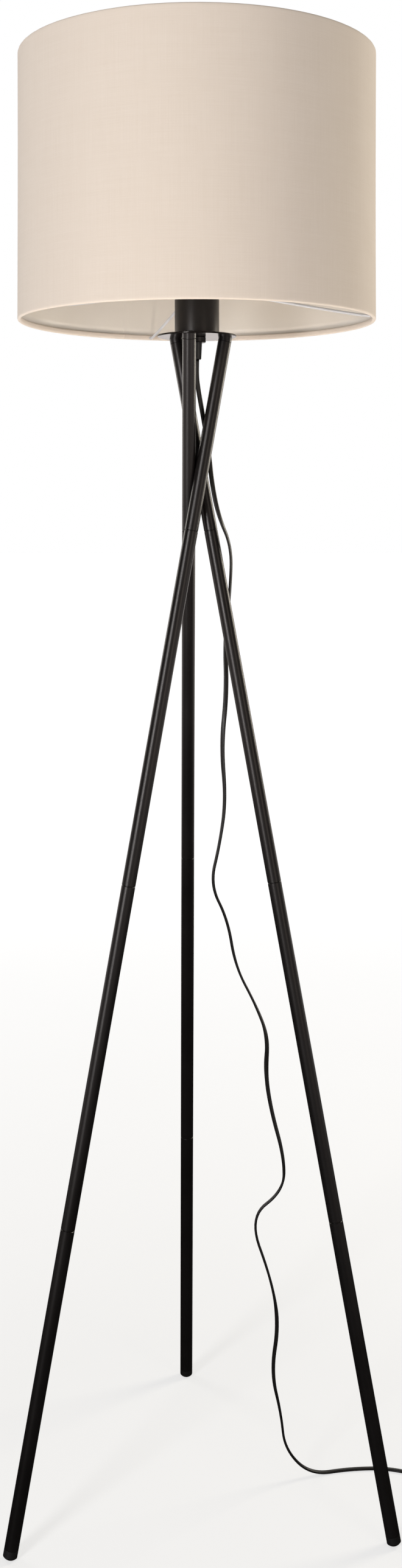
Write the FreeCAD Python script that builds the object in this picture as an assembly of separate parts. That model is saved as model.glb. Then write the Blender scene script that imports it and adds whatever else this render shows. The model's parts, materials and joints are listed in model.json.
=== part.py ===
import FreeCAD, Part
import math
import os
from FreeCAD import Placement, Rotation, Vector

# A tripod floor lamp. Millimetres, +Z up, the floor at Z = 0 and the lamp's middle axis at X = Y = 0.
# The front is -Y. Angles round the axis are in degrees, from the front towards +X.

# --- legs ---
LEG_COUNT = 3
LEG_RADIUS = 7.2
LEG_WALL = 1.0
LEG_TOP_CIRCLE = 31.5  # the leg axes meet the plate's underside on this circle
LEG_TOP_ANGLE = -14.8  # where the back leg meets the plate
FOOT_CIRCLE = 222.1  # the leg axes meet the floor on this circle
BACK_FOOT_ANGLE = 183.3
LEG_SEAMS = (210.9, 585.3, 931.7)  # screwed joints, measured down the leg from the plate
SEAM_HALF_GAP = 0.2
SEAM_CHAMFER = 0.35
PLUG_RADIUS = LEG_RADIUS - LEG_WALL - 0.05  # what is pushed into a tube
PLUG_DEPTH = 12.0
COLLAR_LENGTH = 4.5
FOOT_HEIGHT = 10.0
FOOT_DOME_RADIUS = 9.5
FOOT_DOME_CENTRE = 9.2  # above the floor, so the dome has a small flat to stand on

# --- head ---
PLATE_UNDERSIDE = 1224.8
PLATE_THICKNESS = 1.8
PLATE_TOP = PLATE_UNDERSIDE + PLATE_THICKNESS
PLATE_RADIUS = 42.0
SCREW_RADIUS = 2.5
SCREW_HEAD_RADIUS = 5.0
SCREW_HEAD_HEIGHT = 1.3
SCREW_DEPTH = 11.0
CUP_RADIUS = 23.7
CUP_WALL = 1.0
CUP_TOP = 1269.0
NIPPLE_RADIUS = 5.0
NIPPLE_BORE = 3.6
NIPPLE_BOTTOM = 1221.0
NIPPLE_TOP = 1236.0
THREAD_GAP = 0.05
GLAND_RADIUS = 9.5
GLAND_BOTTOM = 1218.8
SLEEVE_TOP_RADIUS = 5.5
SLEEVE_TIP_RADIUS = 4.7
SLEEVE_BOTTOM = 1200.8
LEAD_TOP = 1238.0

# --- lampholder, for a screw bulb 27 mm across ---
HOLDER_RADIUS = 20.0
HOLDER_BOTTOM = 1244.0
HOLDER_FLOOR = 1264.0
FLANGE_TOP = 1271.6
SKIRT_RADIUS = 19.6
SKIRT_TOP = 1297.0
CAVITY_RADIUS = 14.3
SHELL_OUTER = 14.2
SHELL_INNER = 13.2
SHELL_BOTTOM = 1270.0
SHELL_TOP = 1295.0
TERMINAL_OFFSET = 10.0

# --- shade ---
SHADE_RADIUS = 190.0
SHADE_BOTTOM = 1240.4
SHADE_TOP = 1522.8
FABRIC = 0.5
LINING = 0.6
HEM_DEPTH = 3.8  # from the rim's outer face to the hem's inner face
HEM_HEIGHT = 4.2
RIM_WIRE = 1.0
SPIDER_WIRE = 1.5
SPIDER_ANGLES = (76.9, 196.9, 316.9)
FITTER_BOTTOM = 1272.0
FITTER_TOP = 1274.2
FITTER_INNER = 20.0
FITTER_OUTER = 25.0
CLAMP_BOTTOM = 1274.6
CLAMP_TOP = 1281.0
CLAMP_RADIUS = 24.0
CLAMP_RIBS = 24

# --- cord, switch and plug ---
CORD_RADIUS = 2.6
LOW = CORD_RADIUS  # the height of a cord that lies on the floor
SWITCH_CORD_Z = 6.0
PLUG_CORD_Z = 6.85
SWITCH_X = 254.5
SWITCH_INLET_Y = -44.0
SWITCH_OUTLET_Y = -104.0
HANGING_ROUTE = (
    (0, 0, SLEEVE_BOTTOM),
    (0, 0, 1172),
    (4, 8, 1139),
    (11, 9, 1106),
    (16, 1, 1068),
    (23, -2, 1034),
    (37, 2, 1001),
    (36, 8, 958),
    (30, 10, 904),
    (32, 8, 845),
    (26, 6, 788),
    (31, 3, 730),
    (24, 2, 682),
    (14, 4, 640),
    (33, 6, 602),
    (43, 6, 552),
    (64, 5, 512),
    (76, 3, 478),
    (73, 2, 440),
    (79, 1, 400),
    (93, 0, 350),
    (91, -1, 317),
    (57, -2, 284),
    (79, -3, 222),
    (87, -5, 175),
    (79, -2, 122),
    (90, 4, 74),
    (94, 10, 33),
    (122, 17, LOW),
    (166, 28, LOW),
    (208, 29, LOW),
    (244, 14, LOW),
    (257, -15, 3.2),
    (SWITCH_X, SWITCH_INLET_Y, SWITCH_CORD_Z),
)
COIL_X = 286.0
COIL_Y = -166.0
COIL_RING_RADIUS = 28.6  # the middle of the coil's turns
COIL_HALF_WIDTH = 5.4
COIL_HEIGHT = 10.6
COIL_LOW_RADIUS = COIL_RING_RADIUS + CORD_RADIUS
TAIL_ROUTE = (
    (SWITCH_X, SWITCH_OUTLET_Y, SWITCH_CORD_Z),
    (256, -134, 3.2),
    (COIL_X - COIL_LOW_RADIUS, COIL_Y + 4, LOW),
)
PLUG_X = COIL_X + COIL_LOW_RADIUS
PLUG_TAIL_Y = -144.0
PLUG_FRONT_Y = PLUG_TAIL_Y + 48.0
PLUG_RELIEF_LENGTH = 14.0  # the tapered tail round the cord
PLUG_HALF_WIDTHS = ((6.0, 0), (10.0, 8.0), (13.0, 24.0))  # half width, distance along the body
PIN_OFFSET = 9.3
PIN_RADIUS = 2.0
PIN_SHANK_RADIUS = 1.5
PIN_LENGTH = 19.0
PIN_NECK = 0.6
PIN_BURIED = 8.0
PIN_TIP_ROUNDING = 1.4
SWITCH_WIDTH = 34.0
SWITCH_SPLIT = 9.0
SWITCH_TOP = 19.0
SWITCH_WALL = 1.8
SWITCH_FLOOR = 2.0
SWITCH_CORNER = 11.0
SWITCH_SCREW_X = 9.5  # from the switch's middle
SWITCH_SCREW_Y = 19.0
BUTTON_RADIUS = 10.0
BUTTON_TOP = 22.6
BUTTON_GAP = 0.4
BUTTON_FLANGE_THICKNESS = 1.6
BUTTON_POST_RADIUS = 2.0
SPRING_BOTTOM = 10.0

UP = Vector(0, 0, 1)


def polar(radius, angle, height):
    """A point at this radius and at this angle from the front."""
    turn = math.radians(angle)
    return Vector(radius * math.sin(turn), -radius * math.cos(turn), height)


def cylinder(radius, bottom, top, x=0.0, y=0.0):
    return Part.makeCylinder(radius, top - bottom, Vector(x, y, bottom))


def ring(outer, inner, bottom, top, x=0.0, y=0.0):
    return cylinder(outer, bottom, top, x, y).cut(cylinder(inner, bottom - 1, top + 1, x, y))


def revolved(outline):
    """The solid that an outline of (radius, height) points makes round the Z axis."""
    corners = [Vector(radius, 0, height) for radius, height in outline]
    face = Part.Face(Part.makePolygon(corners + corners[:1]))
    return face.revolve(Vector(0, 0, 0), UP, 360)


def placed(shape, start, direction):
    """A shape made along +Z from the origin, moved to start and turned to point along direction."""
    moved = shape.copy()
    moved.Placement = Placement(start, Rotation(UP, direction))
    return moved


def export(shape, node):
    shape.exportStep("parts/" + node + ".step")


def group(shapes):
    return Part.makeCompound(shapes)


# --- cords ---


def rounded_path(route, name):
    """Straight runs joined by tangent arcs, each as large as its two runs allow."""
    points = [Vector(*point) for point in route]
    edges = []
    radii = []
    start = points[0]
    for before, corner, after in zip(points, points[1:], points[2:]):
        incoming = (corner - before).normalize()
        outgoing = (after - corner).normalize()
        shorter = min((corner - before).Length, (after - corner).Length)
        half_turn = incoming.getAngle(outgoing) / 2
        radius = 0.45 * shorter / math.tan(half_turn)
        radii.append(radius)
        arc_start = corner - incoming * (0.45 * shorter)
        arc_end = corner + outgoing * (0.45 * shorter)
        inward = (outgoing - incoming).normalize()
        arc_middle = corner + inward * (radius / math.cos(half_turn) - radius)
        edges.append(Part.LineSegment(start, arc_start).toShape())
        edges.append(Part.Arc(arc_start, arc_middle, arc_end).toShape())
        start = arc_end
    edges.append(Part.LineSegment(start, points[-1]).toShape())
    print(name, "radii:", [round(radius) for radius in radii])
    return Part.Wire(edges)


def tube(path, radius, name):
    """A round tube along a path, with its volume compared with its section times its length."""
    first = path.OrderedEdges[0]
    start = first.valueAt(first.FirstParameter)
    along = first.tangentAt(first.FirstParameter)
    section = Part.Wire(Part.Circle(start, along, radius).toShape())
    solid = path.makePipeShell([section], True, False)
    solid = Part.Solid(solid) if solid.ShapeType == "Shell" else solid
    expected = math.pi * radius**2 * path.Length
    print(name, "length", round(path.Length, 1), "volume share", round(solid.Volume / expected, 4))
    return solid


def cord(route, name):
    return tube(rounded_path(route, name), CORD_RADIUS, name)


def cord_coil():
    """The outer shape of the turns that are put away."""
    inner = COIL_RING_RADIUS - COIL_HALF_WIDTH
    outer = COIL_RING_RADIUS + COIL_HALF_WIDTH
    edge = CORD_RADIUS / 2
    outline = (
        (inner + edge, 0),
        (outer - edge, 0),
        (outer, edge),
        (outer, COIL_HEIGHT - edge),
        (outer - edge, COIL_HEIGHT),
        (inner + edge, COIL_HEIGHT),
        (inner, COIL_HEIGHT - edge),
        (inner, edge),
    )
    coil = revolved(outline)
    coil.translate(Vector(COIL_X, COIL_Y, 0))
    return coil


# --- legs ---


def leg_line(turn):
    """Where a leg meets the plate, its direction down to the floor, and its length."""
    top = polar(LEG_TOP_CIRCLE, LEG_TOP_ANGLE + turn, PLATE_UNDERSIDE)
    foot = polar(FOOT_CIRCLE, BACK_FOOT_ANGLE + turn, 0)
    down = foot - top
    length = down.Length
    return top, down.normalize(), length


def leg_tube(top, down, start, end):
    """One tube of a leg, between two distances from the plate."""
    length = end - start
    bore = LEG_RADIUS - LEG_WALL
    outline = (
        (bore, 0),
        (LEG_RADIUS - SEAM_CHAMFER, 0),
        (LEG_RADIUS, SEAM_CHAMFER),
        (LEG_RADIUS, length - SEAM_CHAMFER),
        (LEG_RADIUS - SEAM_CHAMFER, length),
        (bore, length),
    )
    return placed(revolved(outline), top + down * start, down)


def leg_connector(top, down, seam):
    """The plug inside a screwed joint, with the thin stop that shows as the joint line."""
    stop = LEG_RADIUS - 2 * SEAM_CHAMFER
    lead_in = 0.5
    outline = (
        (0, -PLUG_DEPTH),
        (PLUG_RADIUS - lead_in, -PLUG_DEPTH),
        (PLUG_RADIUS, lead_in - PLUG_DEPTH),
        (PLUG_RADIUS, -SEAM_HALF_GAP),
        (stop, -SEAM_HALF_GAP),
        (stop, SEAM_HALF_GAP),
        (PLUG_RADIUS, SEAM_HALF_GAP),
        (PLUG_RADIUS, PLUG_DEPTH - lead_in),
        (PLUG_RADIUS - lead_in, PLUG_DEPTH),
        (0, PLUG_DEPTH),
    )
    return placed(revolved(outline), top + down * seam, down)


def leg_collar(top, down):
    """The end piece between a leg and the plate: level on top, with a spigot in the tube."""
    body = Part.makeCylinder(LEG_RADIUS, 2 * COLLAR_LENGTH, Vector(0, 0, -COLLAR_LENGTH))
    stop_radius = LEG_RADIUS - 2 * SEAM_CHAMFER
    stop = cylinder(stop_radius, COLLAR_LENGTH, COLLAR_LENGTH + SEAM_HALF_GAP)
    spigot = cylinder(PLUG_RADIUS, COLLAR_LENGTH, COLLAR_LENGTH + 1.2 * PLUG_DEPTH)
    collar = placed(body.fuse([stop, spigot]).removeSplitter(), top, down)
    above = Part.makeBox(60, 60, 60, Vector(top.x - 30, top.y - 30, PLATE_UNDERSIDE))
    thread = cylinder(
        SCREW_RADIUS + THREAD_GAP,
        PLATE_UNDERSIDE - SCREW_DEPTH - 1,
        PLATE_TOP,
        top.x,
        top.y,
    )
    return collar.cut(above).cut(thread)


def leg_screw(top):
    shank = cylinder(SCREW_RADIUS, PLATE_UNDERSIDE - SCREW_DEPTH, PLATE_TOP, top.x, top.y)
    head = cylinder(SCREW_HEAD_RADIUS, PLATE_TOP, PLATE_TOP + SCREW_HEAD_HEIGHT, top.x, top.y)
    socket = Part.makeBox(6, 1, 0.8, Vector(top.x - 3, top.y - 0.5, PLATE_TOP + 0.5))
    return shank.fuse(head).removeSplitter().cut(socket)


def leg_foot(top, down, length):
    """A cap with a domed end and a spigot in the tube."""
    reach = FOOT_HEIGHT / abs(down.z)
    cap = cylinder(LEG_RADIUS, length - reach, length + reach)
    spigot = cylinder(PLUG_RADIUS, length - reach - PLUG_DEPTH, length - reach)
    foot = placed(cap, top, down)
    centre = top + down * (length - FOOT_DOME_CENTRE / abs(down.z))
    dome = Part.makeSphere(FOOT_DOME_RADIUS, centre)
    upper = placed(cylinder(LEG_RADIUS + 1, length - 3 * reach, length - reach / 2), top, down)
    foot = foot.common(dome.fuse(upper))
    floor = Part.makeBox(80, 80, 40, Vector(centre.x - 40, centre.y - 40, -40))
    return foot.cut(floor).fuse(placed(spigot, top, down)).removeSplitter()


def build_legs():
    connectors = []
    screws = []
    names = ("back_leg", "left_leg", "right_leg")
    for index, name in enumerate(names):
        top, down, length = leg_line(360 / LEG_COUNT * index)
        foot_start = length - FOOT_HEIGHT / abs(down.z)
        starts = [COLLAR_LENGTH + SEAM_HALF_GAP] + [seam + SEAM_HALF_GAP for seam in LEG_SEAMS]
        ends = [seam - SEAM_HALF_GAP for seam in LEG_SEAMS] + [foot_start]
        for place, start, end in zip(("top", "upper", "lower", "bottom"), starts, ends):
            export(leg_tube(top, down, start, end), name + "_" + place + "_tube")
        export(leg_collar(top, down), name + "_collar")
        export(leg_foot(top, down, length), name + "_foot")
        connectors += [leg_connector(top, down, seam) for seam in LEG_SEAMS]
        screws.append(leg_screw(top))
    export(group(connectors), "leg_tube_connectors")
    export(group(screws), "leg_screws")


# --- plate, cup and cord outlet ---


def top_plate():
    edge = 0.4
    outline = (
        (0, PLATE_UNDERSIDE),
        (PLATE_RADIUS - edge, PLATE_UNDERSIDE),
        (PLATE_RADIUS, PLATE_UNDERSIDE + edge),
        (PLATE_RADIUS, PLATE_TOP - edge),
        (PLATE_RADIUS - edge, PLATE_TOP),
        (0, PLATE_TOP),
    )
    plate = revolved(outline)
    holes = [cylinder(NIPPLE_RADIUS + 0.15, PLATE_UNDERSIDE - 1, PLATE_TOP + 1)]
    for index in range(LEG_COUNT):
        top, _, _ = leg_line(360 / LEG_COUNT * index)
        holes.append(
            cylinder(SCREW_RADIUS + 0.25, PLATE_UNDERSIDE - 1, PLATE_TOP + 1, top.x, top.y)
        )
    return plate.cut(holes)


def lampholder_cup():
    floor = 1.2
    lip = 0.4
    inner = CUP_RADIUS - CUP_WALL
    outline = (
        (NIPPLE_RADIUS + 0.15, PLATE_TOP),
        (CUP_RADIUS - lip, PLATE_TOP),
        (CUP_RADIUS, PLATE_TOP + lip),
        (CUP_RADIUS, CUP_TOP - lip),
        (CUP_RADIUS - lip, CUP_TOP),
        (inner, CUP_TOP),
        (inner, PLATE_TOP + floor),
        (NIPPLE_RADIUS + 0.15, PLATE_TOP + floor),
    )
    return revolved(outline)


def hexagon(across_flats, bottom, top):
    corner = across_flats / math.sqrt(3)
    corners = [polar(corner, 60 * index, bottom) for index in range(6)]
    face = Part.Face(Part.makePolygon(corners + corners[:1]))
    return face.extrude(Vector(0, 0, top - bottom))


def build_cord_outlet():
    cup_floor = PLATE_TOP + 1.2
    washer_top = cup_floor + 1.0
    nut_top = washer_top + 4.0
    threaded = NIPPLE_RADIUS + THREAD_GAP
    export(ring(NIPPLE_RADIUS, NIPPLE_BORE, NIPPLE_BOTTOM, NIPPLE_TOP), "threaded_nipple")
    export(ring(9.0, threaded, cup_floor, washer_top), "nipple_washer")
    nut = hexagon(14.0, washer_top, nut_top)
    export(nut.cut(cylinder(threaded, washer_top - 1, nut_top + 1)), "nipple_locknut")
    edge = 0.6
    gland = revolved(
        (
            (threaded, GLAND_BOTTOM),
            (GLAND_RADIUS - edge, GLAND_BOTTOM),
            (GLAND_RADIUS, GLAND_BOTTOM + edge),
            (GLAND_RADIUS, PLATE_UNDERSIDE - edge),
            (GLAND_RADIUS - edge, PLATE_UNDERSIDE),
            (threaded, PLATE_UNDERSIDE),
        )
    )
    export(gland, "gland_nut")
    bore = CORD_RADIUS + 0.1
    spigot_top = NIPPLE_BOTTOM - 0.1
    sleeve = revolved(
        (
            (bore, SLEEVE_BOTTOM),
            (SLEEVE_TIP_RADIUS - 0.4, SLEEVE_BOTTOM),
            (SLEEVE_TIP_RADIUS, SLEEVE_BOTTOM + 0.8),
            (SLEEVE_TOP_RADIUS, GLAND_BOTTOM),
            (NIPPLE_RADIUS - THREAD_GAP, GLAND_BOTTOM),
            (NIPPLE_RADIUS - THREAD_GAP, spigot_top),
            (bore, spigot_top),
        )
    )
    export(sleeve, "cord_sleeve")
    export(cylinder(CORD_RADIUS, SLEEVE_BOTTOM, LEAD_TOP), "inner_lead")


# --- lampholder ---


def lampholder_body():
    outline = (
        (0, HOLDER_BOTTOM),
        (HOLDER_RADIUS, HOLDER_BOTTOM),
        (HOLDER_RADIUS, CUP_TOP),
        (CUP_RADIUS, CUP_TOP),
        (CUP_RADIUS, FLANGE_TOP),
        (SKIRT_RADIUS, FLANGE_TOP),
        (SKIRT_RADIUS, SKIRT_TOP - 1),
        (SKIRT_RADIUS - 1, SKIRT_TOP),
        (CAVITY_RADIUS, SKIRT_TOP),
        (CAVITY_RADIUS, HOLDER_FLOOR),
        (0, HOLDER_FLOOR),
    )
    body = revolved(outline)
    holes = [
        cylinder(1.55, HOLDER_BOTTOM - 1, HOLDER_BOTTOM + 11, side * TERMINAL_OFFSET)
        for side in (-1, 1)
    ]
    return body.cut(holes)


def centre_contact():
    """A springy strip on the cavity's floor, bent up to the middle."""
    foot = Part.makeBox(16, 5, 0.6, Vector(-11, -2.5, HOLDER_FLOOR))
    rise = Part.makeBox(0.6, 5, 2.6, Vector(4.4, -2.5, HOLDER_FLOOR))
    tongue = Part.makeBox(9, 5, 0.6, Vector(-4, -2.5, HOLDER_FLOOR + 2))
    return foot.fuse([rise, tongue]).removeSplitter()


def terminal_screw(side):
    x = side * TERMINAL_OFFSET
    shank = cylinder(1.5, HOLDER_BOTTOM, HOLDER_BOTTOM + 10, x)
    head = cylinder(2.8, HOLDER_BOTTOM - 2.2, HOLDER_BOTTOM, x)
    slot = Part.makeBox(6, 0.8, 0.8, Vector(x - 3, -0.4, HOLDER_BOTTOM - 2.3))
    return head.fuse(shank).removeSplitter().cut(slot)


def core_wire(side):
    """One core, from the lead's end to the side of its terminal screw."""
    route = (
        (side * 1.4, 0, LEAD_TOP),
        (side * 2.4, 0, LEAD_TOP + 4.4),
        (side * 7.1, 0, LEAD_TOP + 4.9),
    )
    return tube(rounded_path(route, "core"), 0.9, "core")


def build_lampholder():
    export(lampholder_body(), "lampholder_body")
    shell = ring(SHELL_OUTER, SHELL_INNER, SHELL_BOTTOM, SHELL_TOP)
    export(shell, "lampholder_thread_shell")
    export(centre_contact(), "lampholder_centre_contact")
    export(group([terminal_screw(side) for side in (-1, 1)]), "lampholder_terminal_screws")
    export(group([core_wire(side) for side in (-1, 1)]), "core_wires")


def clamp_ring():
    """The ribbed ring that screws down on the shade's fitter."""
    body = ring(CLAMP_RADIUS, SKIRT_RADIUS + THREAD_GAP, CLAMP_BOTTOM, CLAMP_TOP)
    ribs = []
    for index in range(CLAMP_RIBS):
        place = polar(CLAMP_RADIUS, 360 / CLAMP_RIBS * index, CLAMP_BOTTOM)
        ribs.append(cylinder(0.8, CLAMP_BOTTOM, CLAMP_TOP, place.x, place.y))
    return body.fuse(ribs).removeSplitter()


# --- shade ---


def spider_arm(angle, wire):
    """A straight wire from the rim wire up to the fitter's edge."""
    rim = polar(SHADE_RADIUS - HEM_DEPTH / 2 - 0.3, angle, SHADE_BOTTOM + 1.9)
    hub = polar(FITTER_OUTER - 1, angle, (FITTER_BOTTOM + FITTER_TOP) / 2)
    return Part.makeCylinder(wire, (hub - rim).Length, rim, hub - rim)


def shade_fabric():
    """The drum, with its cloth folded over both rims and a hem band inside each."""
    inner = SHADE_RADIUS - FABRIC
    band_outer = SHADE_RADIUS - HEM_DEPTH + FABRIC
    band_inner = SHADE_RADIUS - HEM_DEPTH
    drum = ring(SHADE_RADIUS, inner, SHADE_BOTTOM, SHADE_TOP)
    pieces = []
    for rim, inward in ((SHADE_BOTTOM, 1), (SHADE_TOP, -1)):
        fold = sorted((rim, rim + inward * FABRIC))
        band = sorted((rim, rim + inward * HEM_HEIGHT))
        pieces.append(ring(SHADE_RADIUS, band_inner, *fold))
        pieces.append(ring(band_outer, band_inner, *band))
    fabric = drum.fuse(pieces).removeSplitter()
    notches = [spider_arm(angle, SPIDER_WIRE + 0.15) for angle in SPIDER_ANGLES]
    return fabric.cut(notches)


def shade_lining():
    outer = SHADE_RADIUS - FABRIC
    lining = ring(outer, outer - LINING, SHADE_BOTTOM + FABRIC, SHADE_TOP - FABRIC)
    notches = [spider_arm(angle, SPIDER_WIRE + 0.15) for angle in SPIDER_ANGLES]
    return lining.cut(notches)


def rim_wire(height):
    middle = SHADE_RADIUS - HEM_DEPTH / 2 - 0.3
    return Part.makeTorus(middle, RIM_WIRE, Vector(0, 0, height))


def build_shade():
    export(shade_fabric(), "shade_fabric")
    export(shade_lining(), "shade_lining")
    export(rim_wire(SHADE_BOTTOM + 1.9), "shade_bottom_wire")
    export(rim_wire(SHADE_TOP - 1.9), "shade_top_wire")
    arms = [spider_arm(angle, SPIDER_WIRE) for angle in SPIDER_ANGLES]
    export(group(arms), "shade_spider_arms")
    export(ring(FITTER_OUTER, FITTER_INNER, FITTER_BOTTOM, FITTER_TOP), "shade_fitter_ring")
    export(clamp_ring(), "shade_clamp_ring")


# --- foot switch ---


def switch_block_shape(inset, bottom, top):
    """The switch's rounded plan, made smaller by inset, between two heights."""
    length = SWITCH_INLET_Y - SWITCH_OUTLET_Y - 2 * inset
    width = SWITCH_WIDTH - 2 * inset
    corner = Vector(SWITCH_X - width / 2, SWITCH_OUTLET_Y + inset, bottom)
    box = Part.makeBox(width, length, top - bottom, corner)
    uprights = [edge for edge in box.Edges if abs(edge.tangentAt(0).z) > 0.9]
    return box.makeFillet(SWITCH_CORNER - inset, uprights)


def switch_middle_y():
    return (SWITCH_INLET_Y + SWITCH_OUTLET_Y) / 2


def cord_passage(gap):
    """The round way through both ends of the switch."""
    start = Vector(SWITCH_X, SWITCH_INLET_Y + 1, SWITCH_CORD_Z)
    length = SWITCH_INLET_Y - SWITCH_OUTLET_Y + 2
    return Part.makeCylinder(CORD_RADIUS + gap, length, start, Vector(0, -1, 0))


def screw_places():
    """The two screws stand at opposite corners."""
    middle = switch_middle_y()
    return [(SWITCH_X + side * SWITCH_SCREW_X, middle + side * SWITCH_SCREW_Y) for side in (-1, 1)]


def switch_base():
    base = switch_block_shape(0, 0, SWITCH_SPLIT)
    bottom = [edge for edge in base.Edges if edge.BoundBox.ZMax < 0.01]
    base = base.makeFillet(1.2, bottom)
    base = base.cut(switch_block_shape(SWITCH_WALL, SWITCH_FLOOR, SWITCH_SPLIT + 1))
    for x, y in screw_places():
        base = base.fuse(cylinder(3.2, 1.0, 2.9, x, y))
        base = base.cut(cylinder(1.4, -1, 5, x, y)).cut(cylinder(2.7, -1, 1.6, x, y))
    return base.cut(cord_passage(0.1)).removeSplitter()


def switch_cover():
    cover = switch_block_shape(0, SWITCH_SPLIT, SWITCH_TOP)
    top = [edge for edge in cover.Edges if edge.BoundBox.ZMin > SWITCH_TOP - 0.01]
    cover = cover.makeFillet(4.0, top)
    cover = cover.cut(switch_block_shape(SWITCH_WALL + 1.2, SWITCH_SPLIT - 1, SWITCH_TOP - 2))
    middle = switch_middle_y()
    opening = cylinder(BUTTON_RADIUS + BUTTON_GAP, SWITCH_SPLIT, SWITCH_TOP + 1, SWITCH_X, middle)
    cover = cover.cut(opening)
    for x, y in screw_places():
        post = cylinder(2.8, SWITCH_SPLIT + 0.2, SWITCH_TOP - 1, x, y)
        cover = cover.fuse(post).cut(cylinder(1.25, SWITCH_SPLIT - 1, SWITCH_TOP - 4, x, y))
    return cover.removeSplitter()


def switch_button():
    """A round button with a domed top, a retaining flange and a post down to the latch."""
    middle = switch_middle_y()
    head = cylinder(BUTTON_RADIUS, SWITCH_TOP - 4, BUTTON_TOP, SWITCH_X, middle)
    rim = [edge for edge in head.Edges if edge.BoundBox.ZMin > BUTTON_TOP - 0.01]
    head = head.makeFillet(1.6, rim)
    flange_top = SWITCH_TOP - 2.4
    flange_bottom = flange_top - BUTTON_FLANGE_THICKNESS
    flange = cylinder(BUTTON_RADIUS + 1.4, flange_bottom, flange_top, SWITCH_X, middle)
    post_bottom = SPRING_BOTTOM + 2.6  # clear of the latch when the button is pressed
    post = cylinder(BUTTON_POST_RADIUS, post_bottom, SWITCH_TOP - 4, SWITCH_X, middle)
    return head.fuse([flange, post]).removeSplitter()


def build_switch():
    middle = switch_middle_y()
    export(switch_base(), "switch_base")
    export(switch_cover(), "switch_cover")
    export(switch_button(), "switch_button")
    latch_height = SPRING_BOTTOM - SWITCH_FLOOR
    latch = Part.makeBox(14, 18, latch_height, Vector(SWITCH_X - 7, middle - 9, SWITCH_FLOOR))
    export(latch, "switch_latch")
    spring_top = SWITCH_TOP - 4 - BUTTON_GAP / 2
    spring = ring(3.6, 2.6, SPRING_BOTTOM, spring_top, SWITCH_X, middle)
    export(spring, "switch_spring")
    screws = []
    for x, y in screw_places():
        head = cylinder(2.5, 0.4, 1.6, x, y)
        screws.append(head.fuse(cylinder(1.2, 1.6, SWITCH_TOP - 5, x, y)).removeSplitter())
    export(group(screws), "switch_screws")


# --- plug ---


def plug_body():
    """A flat two-pin plug body: narrow at the cord, wide at the pins."""
    rear = PLUG_TAIL_Y + PLUG_RELIEF_LENGTH
    plan = [(half, rear + along) for half, along in PLUG_HALF_WIDTHS]
    plan.append((plan[-1][0], PLUG_FRONT_Y))
    right = [Vector(PLUG_X + half, y, 0) for half, y in plan]
    left = [Vector(PLUG_X - half, y, 0) for half, y in reversed(plan)]
    face = Part.Face(Part.makePolygon(right + left + right[:1]))
    body = face.extrude(Vector(0, 0, 2 * PLUG_CORD_Z))
    level = [edge for edge in body.Edges if abs(edge.tangentAt(0).z) < 0.1]
    body = body.makeFillet(2.5, level)
    tail_start = Vector(PLUG_X, PLUG_TAIL_Y, PLUG_CORD_Z)
    tail_length = PLUG_RELIEF_LENGTH + 1
    tail = Part.makeCone(CORD_RADIUS + 0.9, 5.6, tail_length, tail_start, Vector(0, 1, 0))
    pins = [plug_pin(side) for side in (-1, 1)]
    return body.fuse(tail).removeSplitter().cut(pins)


def pin_start(side, from_front):
    """A point on a pin's axis, this far in front of the plug's front face."""
    return Vector(PLUG_X + side * PIN_OFFSET, PLUG_FRONT_Y + from_front, PLUG_CORD_Z)


def plug_pin(side):
    """A round pin with a rounded tip, necked down where it is moulded into the plug."""
    forward = Vector(0, 1, 0)
    shank_length = PIN_BURIED + PIN_NECK
    shank = Part.makeCylinder(PIN_SHANK_RADIUS, shank_length, pin_start(side, -PIN_BURIED), forward)
    bare_length = PIN_LENGTH - PIN_NECK
    bare = Part.makeCylinder(PIN_RADIUS, bare_length, pin_start(side, PIN_NECK), forward)
    tip = [edge for edge in bare.Edges if edge.BoundBox.YMin > PLUG_FRONT_Y + PIN_LENGTH / 2]
    return bare.makeFillet(PIN_TIP_ROUNDING, tip).fuse(shank).removeSplitter()


def build_plug():
    export(plug_body(), "plug_body")
    export(group([plug_pin(side) for side in (-1, 1)]), "plug_pins")


def build_cords():
    export(cord(HANGING_ROUTE, "cord_hanging"), "cord_hanging")
    export(cord(TAIL_ROUTE, "cord_tail"), "cord_tail")
    export(cord_coil(), "cord_coil")
    end_start = Vector(PLUG_X, COIL_Y + 8, PLUG_CORD_Z)
    end_length = PLUG_TAIL_Y - end_start.y
    export(Part.makeCylinder(CORD_RADIUS, end_length, end_start, Vector(0, 1, 0)), "cord_end")


os.makedirs("parts", exist_ok=True)
build_legs()
export(top_plate(), "top_plate")
export(lampholder_cup(), "lampholder_cup")
build_cord_outlet()
build_lampholder()
build_shade()
build_cords()
build_switch()
build_plug()
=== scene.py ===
"""The looks of a tripod floor lamp with a drum shade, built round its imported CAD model."""

import json
import math

import bpy
from mathutils import Matrix, Vector


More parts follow.
